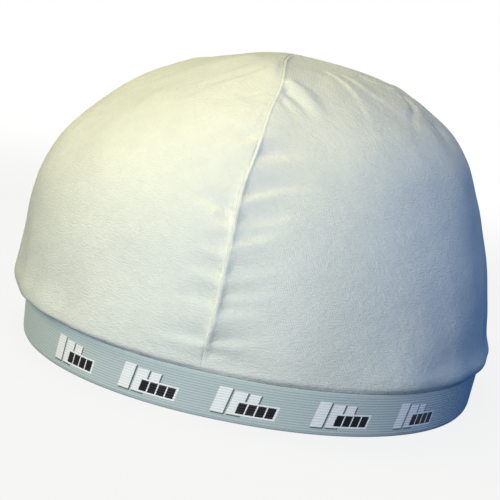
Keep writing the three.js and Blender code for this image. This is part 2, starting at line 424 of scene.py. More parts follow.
@dataclass(frozen=True)
class StretchClothFinish:
    """Smooth satin knit of the crown: fine grain, soft mottling and a broad sheen."""

    name: str = "stretch_cloth"
    light: Colour = tone(0.86, 0.87, 0.81)
    deep: Colour = tone(0.77, 0.79, 0.74)
    roughness: float = 0.43
    roughness_spread: float = 0.25
    sheen: float = 0.05
    gloss: float = 0.6
    # Spots to a metre of the broad and the small mottling
    blotches: float = 70.0
    clouds: float = 260.0
    relief_depth: float = 0.4 * MM
    relief_strength: float = 0.8
    # Millimetres
    wale_pitch: float = 0.5
    grain_length: float = 1.5
    grain_height: float = 0.5

    def material(self) -> bpy.types.Material:
        """Material of the cloth, whose pattern follows its plan map."""
        graph = Graph(self.name)
        along, up = graph.plan()
        grain = graph.noise(graph.vector(along / self.grain_length, up / self.grain_height),
                            1.0, 3.0, 0.65)
        wales = (along * (2 * math.pi / self.wale_pitch)).sine() * 0.5 + 0.5
        blotch = graph.noise(graph.objectwise(), self.blotches, 4.0, 0.6)
        cloud = graph.noise(graph.objectwise(), self.clouds, 3.0, 0.6)
        shade = (grain - 0.5) * 0.55 + (cloud - 0.5) * 0.7 + (blotch - 0.5) * 0.5 + 0.5
        colour = graph.mix(shade.step(0.05, 0.95), self.deep, self.light)
        height = grain + wales * 0.12 + cloud * 0.8
        return graph.finish({
            "Base Color": colour,
            "Roughness": (cloud - 0.5) * self.roughness_spread + self.roughness,
            "Normal": graph.bump(height, self.relief_depth, self.relief_strength),
            "Sheen Weight": self.sheen,
            "Sheen Roughness": 0.4,
            "Specular IOR Level": self.gloss,
        })


@dataclass(frozen=True)
class RibbedElasticFinish:
    """Woven elastic with ribs along it, painted shade in their valleys, and a printed motif of
    plain slanted shapes in a row.
    """

    name: str = "ribbed_elastic"
    # The elastic's tone on its ribs, and that tone darkened as painted shade in the rib valleys
    ridge: Colour = tone(0.56, 0.64, 0.64)
    shaded_valley: Colour = tone(0.48, 0.55, 0.56)
    white_print: Colour = tone(0.95, 0.95, 0.95)
    black_print: Colour = tone(0.012, 0.011, 0.014)
    roughness: float = 0.62
    relief_depth: float = 0.2 * MM
    ribs: int = 17
    # Millimetres
    height: float = 13.6
    thread_pitch: float = 0.62
    motif_pitch: float = 30.05
    # The motifs lean to the right by this share of their height
    motif_slant: float = 0.24
    # Ends of the printed stretch, along the band from the middle of the front
    printed_span: tuple[float, float] = (-60.1, 90.15)
    # Centre, half width and half height of each white bar
    bars: tuple[tuple[tuple[float, float], tuple[float, float]], ...] = (
        ((-8.6, -0.3), (1.95, 4.0)), ((-3.9, -0.55), (1.95, 3.7)), ((0.6, 0.3), (1.6, 2.6)))
    blocks: int = 4
    blocks_centre: tuple[float, float] = (1.9, -1.95)
    blocks_half: float = 5.8
    blocks_half_height: float = 1.7
    blocks_edge: float = 0.5

    def bar(self, along: Signal, up: Signal, centre: tuple[float, float],
            half: tuple[float, float], margin: float = 0.0) -> Signal:
        """Slanted bar of the print.

        Its value is 1 where the place lies within both half sizes, with a soft edge of 0.2 mm.

        Args:
            along: Place along the motif, in millimetres.
            up: Place up the motif, in millimetres.
            centre: Centre of the bar.
            half: Half width and half height.
            margin: How far the bar is widened.

        Returns:
            Mask from 0 to 1.
        """
        sideways = (along - centre[0] - (up - centre[1]) * self.motif_slant).size()
        upwards = (up - centre[1]).size()
        return (sideways - half[0]).most(upwards - half[1]).step(margin + 0.1, margin - 0.1)

    def printed(self, graph: Graph, body: object, along: Signal, up: Signal
                ) -> tuple[bpy.types.NodeSocket, Signal]:
        """Puts the motif over the colour of the elastic.

        Three white bars stand in a row, each lower than the one before, with a dark edge low on
        their right. A row of black blocks with a white edge lies across the end of theirs.

        Args:
            graph: Graph of the material.
            body: Colour of the elastic, with painted shade in its rib valleys.
            along: Place along the band, in millimetres.
            up: Place up the band, in millimetres.

        Returns:
            The colour, and how far the print covers the elastic.
        """
        first, last = self.printed_span
        shown = along.step(first - 0.1, first) * along.step(last + 0.1, last)
        across = along.within(self.motif_pitch) + (1 - shown) * self.motif_pitch
        rise = up - self.height / 2
        white = self.bar(across, rise, self.blocks_centre,
                         (self.blocks_half + self.blocks_edge,
                          self.blocks_half_height + self.blocks_edge))
        edge = white * 0.0
        for centre, half in self.bars:
            white = white.most(self.bar(across, rise, centre, half))
            edge = edge.most(self.bar(across - 0.3, rise + 0.3, centre, half, margin=0.1))
        black = edge * 0.0
        start = self.blocks_centre[0] - self.blocks_half
        for block in range(self.blocks):
            middle = start + (block + 0.5) * 2 * self.blocks_half / self.blocks
            half = (self.blocks_half / self.blocks - 0.2, self.blocks_half_height)
            black = black.most(self.bar(across, rise, (middle, self.blocks_centre[1]), half))
        colour = graph.mix(edge * 0.8, body, self.black_print)
        colour = graph.mix(white, colour, self.white_print)
        return graph.mix(black, colour, self.black_print), white.most(edge)

    def material(self) -> bpy.types.Material:
        """Material of the elastic, whose ribs and print follow its plan map."""
        graph = Graph(self.name)
        along, up = graph.plan()
        fuzz = graph.noise(graph.vector(along / 0.9, up / 0.3), 1.0, 3.0, 0.6)
        rib = (up * (2 * math.pi * self.ribs / self.height) - math.pi / 2).sine() * 0.5 + 0.5
        threads = (along * (2 * math.pi / self.thread_pitch)).sine() * 0.5 + 0.5
        # The colour goes from the ridge tone to the darker valley tone where the mesh's ribs sink:
        # painted shade in the rib valleys, with random fuzz and thread lines over it
        body = graph.mix(rib.step(0.0, 0.8) * 0.85 + (fuzz - 0.5) * 0.5 + threads * 0.08,
                         self.shaded_valley, self.ridge)
        colour, cover = self.printed(graph, body, along, up)
        height = fuzz * 0.5 + threads * 0.35 * (1 - cover * 0.6)
        return graph.finish({
            "Base Color": colour,
            "Roughness": (fuzz - 0.5) * 0.2 + self.roughness - cover * 0.15,
            "Normal": graph.bump(height, self.relief_depth, 0.5),
            "Sheen Weight": 0.15,
            "Specular IOR Level": 0.35,
        })


@dataclass(frozen=True)
class ThreadFinish:
    """Twisted sewing thread, darker in the grooves of its twist as painted shade."""

    name: str = "sewing_thread"
    # Tone of the thread, and that tone darkened as painted shade in the grooves of the twist
    light: Colour = tone(0.82, 0.82, 0.77)
    deep: Colour = tone(0.58, 0.59, 0.56)

    def material(self) -> bpy.types.Material:
        """Material of the thread, with its twist along the plan map."""
        graph = Graph(self.name)
        along, around = graph.plan()
        twist = ((along * 9.0) + (around * 14.0)).sine() * 0.5 + 0.5
        # The colour turns dark where the twist sinks, as the bump does: painted shade in the
        # grooves of the twist
        return graph.finish({
            "Base Color": graph.mix(twist, self.deep, self.light),
            "Roughness": 0.6,
            "Normal": graph.bump(twist, 0.1 * MM, 0.4),
            "Sheen Weight": 0.2,
        })


class Section(NamedTuple):
    """Section of the crown: shares of its height, half widths and half lengths."""

    height: float
    left: float
    right: float
    front: float
    back: float
    aside: float


class Crease(Enum):
    """How a fold of the cloth is shaped across its line."""

    GROOVE = "groove"
    RIDGE = "ridge"
    STEP = "step"
    PUCKER = "pucker"


@dataclass(frozen=True)
class Fold:
    """A fold along a line over the crown, which fades towards its ends.

    Places are degrees around from the front seam, which are more towards the back on both sides,
    and shares of the crown's height.
    """

    side: int
    places: tuple[tuple[float, float], ...]
    width: float
    depth: float
    kind: Crease = Crease.RIDGE
    fade_in: float = 0.0
    fade_out: float = 1.0

    def across(self, reach: np.ndarray) -> np.ndarray:
        """Height across the line, at signed distances in widths.

        The distance is positive above a line that leaves the seam, and away from the seam beside a
        line that climbs. A ridge is a bell curve, a groove is one turned down between two low
        ones, and a step is a bell curve that is steep on one side and long on the other. A pucker
        sinks slowly from above and rises quickly below, to a lip.
        """
        if self.kind is Crease.RIDGE:
            return hump(reach)
        if self.kind is Crease.GROOVE:
            return 0.3 * hump((np.abs(reach) - 2.1) / 1.1) - hump(reach)
        if self.kind is Crease.PUCKER:
            sunk = np.where(reach > 0, hump(reach / 2.9), hump(reach / 1.25))
            return 0.12 * hump((reach + 2.6) / 1.6) + 0.12 * hump((reach - 5.5) / 2.2) - sunk
        return np.where(reach > 0, hump(reach / 3.2), hump(reach))


@dataclass
class BandForm:
    """Plan and profile of the elastic head band, whose rim is a little smaller than its top."""

    half_width: float = 77 * MM
    half_length: float = 94.7 * MM
    height: float = 13.6 * MM
    thickness: float = 1.6 * MM
    rim_inset: float = 1.0 * MM
    ribs: int = 17
    rib_depth: float = 0.09 * MM
    # The edges of the elastic are rounded by this depth over this height
    edge_inset: float = 0.35 * MM
    edge_height: float = 0.5 * MM
    join_length: float = 14 * MM
    join_thickness: float = 0.9 * MM
    plan_power: dict[int, float] = field(default_factory=lambda: {LEFT: 2.0, RIGHT: 2.18})

    def radius(self, half_width: np.ndarray, half_length: np.ndarray, angle: np.ndarray
               ) -> np.ndarray:
        """Distance from the axis to a rounded plan outline.

        It is the sum of the sine's share of the width and the cosine's share of the length, each
        to a power, to minus one over that power: 2 makes an ellipse.
        """
        power = np.where(np.sin(angle) > 0, self.plan_power[RIGHT], self.plan_power[LEFT])
        across = np.abs(np.sin(angle)) / half_width
        along = np.abs(np.cos(angle)) / half_length
        return (across ** power + along ** power) ** (-1 / power)

    def point(self, angle: np.ndarray, inset: np.ndarray, z: np.ndarray) -> np.ndarray:
        """Point on the band's plan outline, moved inwards, at a height."""
        grip = self.rim_inset * (1 - z / self.height)
        radius = self.radius(self.half_width, self.half_length, angle) - inset - grip
        return np.stack(np.broadcast_arrays(radius * np.sin(angle), -radius * np.cos(angle), z), -1)


@dataclass
class CrownForm:
    """Smooth form of the crown on its band, with its folds.

    Sizes are those of the CAD panels. The sections' rows are shares of them.
    """

    band: BandForm
    height: float = 89.3 * MM
    overhang: float = 5 * MM
    front_overhang: float = 2 * MM
    cloth: float = 1.2 * MM
    lap: float = 9 * MM
    lap_clearance: float = 0.3 * MM
    turn_inset: float = 0.35
    # Under its overhang the cloth slopes in to the band, higher up where it hangs out further
    lip_clearance: float = 0.15 * MM
    lip_height: float = 1.9 * MM
    side_lip_height: float = 3.4 * MM
    # Places on that slope: shares of its way out, of its height and of the sag there
    slope: tuple[tuple[float, float, float], ...] = (
        (0.0, 0.0, 0.2), (0.5, 0.34, 0.6), (0.86, 0.70, 0.9))
    bulge_height: float = 0.2
    fold_fade: float = 0.1
    # How far the cloth hangs down over the band's edge at each side
    sag: dict[int, float] = field(default_factory=lambda: {LEFT: 0.4 * MM, RIGHT: 0.0})
    # Shares of the sag at the first rows of the table
    sag_shares: tuple[float, ...] = (0.8, 0.45, 0.12)
    # Roll of cloth low on the left of the front: depth, share of the height, and angles
    roll: float = 1.1 * MM
    roll_height: float = 0.08
    roll_angle: float = 0.6
    roll_reach: float = 0.4
    sections: tuple[Section, ...] = (
        Section(0.045, 1.000, 0.965, 0.996, 0.996, 0.000),
        Section(0.10, 0.996, 0.945, 1.000, 1.000, 0.000),
        Section(0.20, 0.990, 0.930, 0.998, 0.995, 0.000),
        Section(0.34, 0.980, 0.898, 0.980, 0.972, 0.000),
        Section(0.47, 0.948, 0.854, 0.948, 0.930, -0.004),
        Section(0.60, 0.876, 0.801, 0.892, 0.864, -0.007),
        Section(0.72, 0.766, 0.728, 0.809, 0.774, 0.002),
        Section(0.82, 0.634, 0.626, 0.701, 0.665, 0.008),
        Section(0.90, 0.474, 0.492, 0.566, 0.535, 0.006),
        Section(0.955, 0.276, 0.362, 0.415, 0.390, -0.018),
        Section(0.988, 0.125, 0.225, 0.242, 0.225, -0.044),
        Section(1.000, 0.000, 0.000, 0.000, 0.000, -0.060),
    )
    # Rows of mesh from each section to the next: the lap, the turn, the slope and the table
    rows: tuple[int, ...] = (6, 6, 6, 6, 6, 6, 10, 16, 24, 24, 24, 24, 24, 24, 18, 14, 11)
    columns: int = 300
    crowding: float = 0.88
    # How far the front seam wanders to the right of the middle, at shares of the height
    seam_drift: tuple[tuple[float, float], ...] = (
        (0.05, -1.1 * MM), (0.085, -0.8 * MM), (0.123, -0.1 * MM), (0.20, 0.4 * MM),
        (0.29, 0.6 * MM), (0.43, 0.7 * MM), (0.56, 0.8 * MM), (0.615, 0.5 * MM),
        (0.67, 0.25 * MM), (0.71, 0.7 * MM), (0.743, 1.0 * MM), (0.78, 0.1 * MM),
        (0.84, 0.0), (0.88, 0.4 * MM), (0.96, 0.4 * MM), (1.0, 0.0))
    drift_reach: float = 0.5
    seam_groove: float = 0.5 * MM
    seam_width: float = 0.3 * MM
    seam_gap: float = 0.02 * MM
    # The cloth within this distance of the seam is held flat by its stitches
    seam_reach: float = 1.6 * MM
    stitch_pitch: float = 2.6 * MM
    stitch_pull: float = 0.06 * MM
    # Step over the pressed allowance on the left, and the lip that lies on it on the right
    allowance_step: float = 0.15 * MM
    lip_place: float = 0.9 * MM
    lip_width: float = 0.45 * MM
    allowance_width: float = 6.6 * MM
    # The cloth rises to the seam on both sides, more on the right, and on the left near the top
    tent: dict[int, float] = field(default_factory=lambda: {LEFT: 1.0 * MM, RIGHT: 2.6 * MM})
    tent_high: dict[int, float] = field(default_factory=lambda: {LEFT: 1.5 * MM, RIGHT: 0.2 * MM})
    tent_reach: dict[int, float] = field(default_factory=lambda: {LEFT: 14 * MM, RIGHT: 13 * MM})
    # Wave length and depth of the hills, the small hills and the ripples above the band
    hills: tuple[float, float] = (46 * MM, 0.28 * MM)
    small_hills: tuple[float, float] = (17 * MM, 0.07 * MM)
    ripples: tuple[float, float] = (26 * MM, 0.34 * MM)
    folds: tuple[Fold, ...] = ()

    def __post_init__(self) -> None:
        """Works out the sizes that follow from the named ones."""
        self.half_width = self.band.half_width + self.overhang
        self.half_length = self.band.half_length + self.front_overhang
        self.lap_inset = self.band.thickness + self.lap_clearance
        self.bulge_centre = np.array([0, 0, self.band.height + self.bulge_height * self.height])
        self.folds = self.folds or crown_folds()

    def angles(self) -> np.ndarray:
        """Columns' angles from the front seam to the back seam, closer together near the seams."""
        share = np.arange(self.columns + 1) / self.columns
        return math.pi * share - self.crowding * np.sin(2 * math.pi * share) / 2

    def place(self, side: int, angle: np.ndarray, height: np.ndarray) -> np.ndarray:
        """Point on the smooth form, at an angle from the front seam and a share of the height.

        The plan outline at that height has half sizes read from the sections by straight lines
        between their rows.

        Args:
            side: LEFT or RIGHT.
            angle: Angle from the front seam, from 0 to half a turn.
            height: Share of the crown's height.

        Returns:
            Points, with coordinates last.
        """
        drift = np.interp(height, *np.array(self.seam_drift).T) * hump(angle / self.drift_reach)
        table = np.array(self.sections)
        read = {name: np.interp(height, table[:, 0], table[:, column])
                for column, name in enumerate(Section._fields)}
        half_width = self.half_width * (read["right"] if side > 0 else read["left"])
        half_length = self.half_length * np.where(np.cos(angle) > 0, read["front"], read["back"])
        radius = self.band.radius(np.maximum(half_width, 1e-7), np.maximum(half_length, 1e-7),
                                  side * angle)
        return np.stack(np.broadcast_arrays(
            self.half_width * read["aside"] + side * radius * np.sin(angle) + drift,
            -radius * np.cos(angle), self.band.height + self.height * height), -1)

    def column_sections(self, side: int, angle: np.ndarray) -> np.ndarray:
        """Sections of columns of the crown, from the lap's lower edge to beyond the apex.

        They are the lap's two edges, the turn over the band, the slope from the band out to the
        overhang, and the rows of the table.

        Args:
            side: LEFT or RIGHT.
            angle: Angle of each column.

        Returns:
            Points as (sections, columns, 3).
        """
        top = np.full_like(angle, self.band.height)
        sagging = self.sag[side] * (ease(0.35, 1.2, angle) - ease(2.2, 2.9, angle))
        low = top + self.lip_clearance
        turn = self.band.point(side * angle, self.lap_inset * self.turn_inset, low)
        table = [self.place(side, angle, np.full_like(angle, row.height)) for row in self.sections]
        lip_top = self.lip_height + (self.side_lip_height - self.lip_height) * np.sin(angle) ** 2
        foot = self.band.point(side * angle, -self.lip_clearance, low)
        lip = []
        for share, lift, hang in self.slope:
            point = foot + (table[0] - foot) * share
            point[..., 2] = low + lip_top * lift - sagging * hang
            lip.append(point)
        for row, share in enumerate(self.sag_shares):
            table[row][..., 2] -= sagging * share
        apex, before = table[-1], table[-2]
        beyond = 2 * apex - before
        beyond[..., 2] = before[..., 2]
        return np.stack([self.band.point(side * angle, self.lap_inset, top - self.lap),
                         self.band.point(side * angle, self.lap_inset, top - self.lip_clearance),
                         turn, *lip, *table, beyond])

    def fold_relief(self, side: int, points: np.ndarray, outwards: np.ndarray) -> np.ndarray:
        """Height of the folds at points of one side.

        For each fold the nearest place on its line is found. Its height there is its depth times
        its shape across, times a smooth fade at both ends of the line.

        Args:
            side: LEFT or RIGHT.
            points: Points of the smooth form.
            outwards: Outward directions there.

        Returns:
            Heights in metres.
        """
        total = np.zeros(points.shape[:-1])
        for fold in self.folds:
            if fold.side != side:
                continue
            around, height = np.radians([p[0] for p in fold.places]), [p[1] for p in fold.places]
            line = self.place(side, around, np.array(height))
            walked = arc_lengths(line, 0)
            nearest = np.full(points.shape[:-1], 9.0)
            reach, share = np.zeros_like(total), np.zeros_like(total)
            for start, end, from_here, to_here in zip(line, line[1:], walked, walked[1:]):
                run = end - start
                part = np.clip((points - start) @ run / (run @ run), 0, 1)
                away = points - start - part[..., None] * run
                away -= outwards * (away * outwards).sum(-1, keepdims=True)
                far = np.linalg.norm(away, axis=-1)
                turned = side * np.sign((np.cross(outwards, run) * away).sum(-1))
                closer = far < nearest
                nearest = np.where(closer, far, nearest)
                reach = np.where(closer, far * turned, reach)
                share = np.where(closer, (from_here + part * (to_here - from_here)) / walked[-1],
                                 share)
            fade = 1 - ease(1 - fold.fade_out, 1, share)
            if fold.fade_in:
                fade = fade * ease(0, fold.fade_in, share)
            total += fold.depth * fade * fold.across(reach / fold.width)
        return total

    def relief(self, side: int, angle: np.ndarray, points: np.ndarray, outwards: np.ndarray
               ) -> np.ndarray:
        """How far the cloth lies in or out of its smooth form.

        It is the sum of the seam's groove and lips, the pull of its stitches, the rise of the
        cloth to the seam, the folds, the ripples and the roll above the band, and soft hills.

        Args:
            side: LEFT or RIGHT.
            angle: Angle of each column.
            points: Points of the smooth form as (rows, columns, 3).
            outwards: Outward directions there.

        Returns:
            Heights in metres.
        """
        height = (points[..., 2] - self.band.height) / self.height
        from_seam = np.hypot(points[..., 0], points[..., 1]) * np.sin(angle)
        near = hump(from_seam / self.seam_reach)
        walked = arc_lengths(points, 0)
        pull = np.cos(2 * math.pi * walked / self.stitch_pitch)
        seam = -self.seam_groove * np.exp(-from_seam / self.seam_width) * ease(0.78, 0.70, height)
        seam -= self.stitch_pull * pull * hump((from_seam - self.lip_place) / (1.1 * MM))
        high = ease(0.60, 0.74, height)
        if side < 0:
            seam += self.allowance_step * (1 - ease(0.8, 1.25, from_seam / self.allowance_width))
        else:
            lip = 0.08 + 0.26 * ease(0.55, 0.64, height) - 0.12 * ease(0.72, 0.76, height)
            seam += lip * MM * hump((from_seam - self.lip_place) / self.lip_width)
        rise = (self.tent[side] + self.tent_high[side] * high) * ease(0.02, 0.16, height) * ease(
            1.0, 0.94, height)
        seam += rise * np.exp(-from_seam / self.tent_reach[side])
        folds = self.fold_relief(side, points, outwards) * (1 - 0.85 * near)
        length, depth = self.ripples
        gather = swell(points * [1, 1, 0.22], length, 5) * depth * hump((height - 0.06) / 0.13)
        hills = sum(swell(points, length, seed) * depth for seed, (length, depth) in
                    enumerate((self.hills, self.small_hills), start=11))
        soft = hills * (1 - near) * ease(0.05, 0.2, height)
        if side < 0:
            gather += self.roll * hump(height / self.roll_height) * hump(
                (angle - self.roll_angle) / self.roll_reach)
        return (seam + folds) * ease(0, self.fold_fade, height) + soft + gather * ease(
            -0.01, 0.03, height)

    def skin(self, side: int) -> tuple[np.ndarray, np.ndarray]:
        """Outside and inside of one panel.

        The inside is the outside moved inwards along its normals by the cloth's thickness.

        Args:
            side: LEFT or RIGHT.

        Returns:
            Two arrays as (rows, columns, 3), whose last row is the apex.
        """
        angle = self.angles()
        smooth = spline_rows(self.column_sections(side, angle), list(self.rows))
        outwards = lengthwise(smooth - self.bulge_centre)
        outer = smooth + outwards * self.relief(side, angle, smooth, outwards)[..., None]
        outer[-1] = outer[-1].mean(0)
        outer[..., 0] += side * self.seam_gap * np.exp(-np.sin(angle) * 40)
        normals = grid_normals(outer, side)
        normals[:, [0, -1], 0] = 0
        normals[-1] = [0, 0, 1]
        normals = lengthwise(normals)
        return outer, outer - normals * self.cloth


def crown_folds() -> tuple[Fold, ...]:
    """Folds of both panels: puckers along the seam, drapes under the apex and soft dents."""
    pucker = dict(width=1.15 * MM, depth=1.05 * MM, kind=Crease.PUCKER)
    lines = {
        RIGHT: (((0.8, 0.700), (3.7, 0.711), (6.6, 0.720), (12, 0.732)),
                ((0.8, 0.580), (4.7, 0.608), (8.4, 0.627), (14, 0.646)),
                ((0.8, 0.496), (4.1, 0.513), (7.2, 0.531), (13, 0.566)),
                ((0.8, 0.441), (3.3, 0.458), (5.7, 0.474), (10, 0.505)),
                ((0.5, 0.335), (3.9, 0.355), (6.8, 0.370), (12, 0.402)),
                ((0.6, 0.264), (4.7, 0.286), (7.5, 0.299), (11, 0.320)),
                ((0.6, 0.214), (4.3, 0.232), (9.0, 0.253)),
                ((0.6, 0.112), (3.6, 0.125), (6.3, 0.138), (11, 0.162)),
                ((0.6, 0.060), (3.5, 0.068), (5.5, 0.074)),
                ((179.3, 0.61), (174, 0.628), (168, 0.650)),
                ((179.3, 0.47), (175, 0.485), (169, 0.510)),
                ((179.3, 0.33), (174, 0.350), (167, 0.378)),
                ((179.3, 0.20), (175, 0.212), (170, 0.232))),
        LEFT: (((0.5, 0.745), (3.7, 0.737), (7.7, 0.731), (11, 0.728)),
               ((0.5, 0.520), (2.6, 0.531), (5.5, 0.540), (12, 0.556)),
               ((0.5, 0.488), (1.7, 0.495), (4.5, 0.506)),
               ((0.5, 0.408), (2.5, 0.412), (6.5, 0.420)),
               ((0.5, 0.328), (1.8, 0.332), (4.0, 0.336), (8.0, 0.343)),
               ((0.5, 0.238), (2.0, 0.240), (4.1, 0.241), (10, 0.240)),
               ((0.5, 0.112), (2.4, 0.110), (5.5, 0.110), (11.5, 0.108)),
               ((179.3, 0.67), (174, 0.680), (168, 0.696)),
               ((179.3, 0.53), (175, 0.540), (168, 0.556)),
               ((179.3, 0.39), (174, 0.398), (169, 0.407)),
               ((179.3, 0.25), (175, 0.252), (170, 0.256))),
    }
    made = [Fold(side, places, **pucker) for side, rows in lines.items() for places in rows]
    ridge, groove, step = Crease.RIDGE, Crease.GROOVE, Crease.STEP
    # Each row: places, width and depth in millimetres, kind, and the share over which it fades in
    drapes = {
        RIGHT: (
            # Bright ridge from the seam and the two grooves beside it
            (((1.6, 0.920), (4.3, 0.914), (8.2, 0.904), (13.6, 0.859), (16, 0.815)),
             2.3, 1.25, ridge, 0.1),
            (((1.2, 0.893), (5.8, 0.876), (9.3, 0.857), (12.5, 0.822)), 1.5, 0.75, groove, 0.1),
            (((1.5, 0.864), (5.5, 0.843), (8.5, 0.826)), 1.2, 0.5, groove, 0.1),
            # Creases that fall from the apex
            (((33.5, 0.985), (30.1, 0.958), (30.5, 0.921), (30.3, 0.875), (30.2, 0.818),
              (29.6, 0.780), (28.9, 0.735), (28, 0.67)), 1.3, 0.55, step, 0.08),
            (((44.9, 0.978), (41.4, 0.942), (46.0, 0.916), (49.1, 0.883), (51, 0.83)),
             1.4, 0.6, step, 0.1),
            (((88, 0.935), (78, 0.915), (67.4, 0.899), (54.9, 0.872), (49.4, 0.833), (47, 0.78)),
             1.5, 0.65, groove, 0.15),
            (((20, 0.965), (15, 0.935), (14, 0.900), (18, 0.86)), 3.2, -0.5, ridge, 0.3),
            (((84, 0.955), (83, 0.935), (80, 0.915)), 5.0, 0.8, ridge, 0.4),
            (((66, 0.978), (69, 0.962), (72, 0.945)), 3.0, -0.9, ridge, 0.4),
            (((82, 0.870), (77, 0.830), (73, 0.790), (72, 0.73)), 4.5, -1.2, ridge, 0.3),
            (((62, 0.860), (60, 0.820), (60, 0.770)), 3.5, 0.5, ridge, 0.4),
            (((125, 0.955), (128, 0.86), (126, 0.74)), 3.0, 0.9, step, 0.2),
            (((155, 0.93), (150, 0.84), (149, 0.73)), 2.4, 0.7, ridge, 0.2)),
        LEFT: (
            # Drapes that sweep from the apex, steep above and long below
            (((0.4, 0.960), (2.9, 0.946), (7.0, 0.931), (11.2, 0.913), (16.3, 0.894),
              (19.6, 0.869), (21.8, 0.840), (26.1, 0.809), (30, 0.76)), -2.2, 1.2, step, 0.02),
            (((3.5, 0.980), (8.7, 0.962), (13.5, 0.947), (20.6, 0.917), (26.3, 0.879),
              (31, 0.83), (34, 0.78)), -1.7, 0.9, step, 0.05),
            (((20, 0.985), (30, 0.965), (38, 0.935), (46, 0.890), (53.4, 0.829),
              (56.3, 0.793), (60, 0.74)), -2.0, 1.0, step, 0.1),
            # Small notch of the left outline
            (((51.4, 0.720), (54.5, 0.696), (61.5, 0.678), (68.5, 0.666), (75, 0.66)),
             1.6, 0.7, groove, 0.3),
            # Fine wrinkles
            (((1.3, 0.838), (4.8, 0.812), (8.7, 0.789), (12, 0.765)), 0.7, 0.28, groove, 0.05),
            (((12.9, 0.789), (15.8, 0.756), (18, 0.735)), 0.7, 0.28, groove, 0.2),
            (((3.3, 0.875), (6.8, 0.857), (10.5, 0.843)), 0.7, 0.25, groove, 0.1),
            (((41.9, 0.845), (39, 0.79), (37.3, 0.734), (37, 0.68)), 2.2, 0.4, ridge, 0.3),
            (((65, 0.70), (66, 0.672), (64, 0.63)), 4.0, -0.8, ridge, 0.4),
            (((128, 0.95), (124, 0.85), (121, 0.74)), 3.0, 0.9, step, 0.2),
            (((160, 0.92), (154, 0.83), (150, 0.74)), 2.2, 0.7, ridge, 0.2),
            (((92, 0.93), (86, 0.86), (80, 0.78)), 3.0, 0.6, step, 0.2)),
    }
    made += [Fold(side, places, width * MM, depth * MM, kind, fade_in)
             for side, rows in drapes.items() for places, width, depth, kind, fade_in in rows]
    return tuple(made)


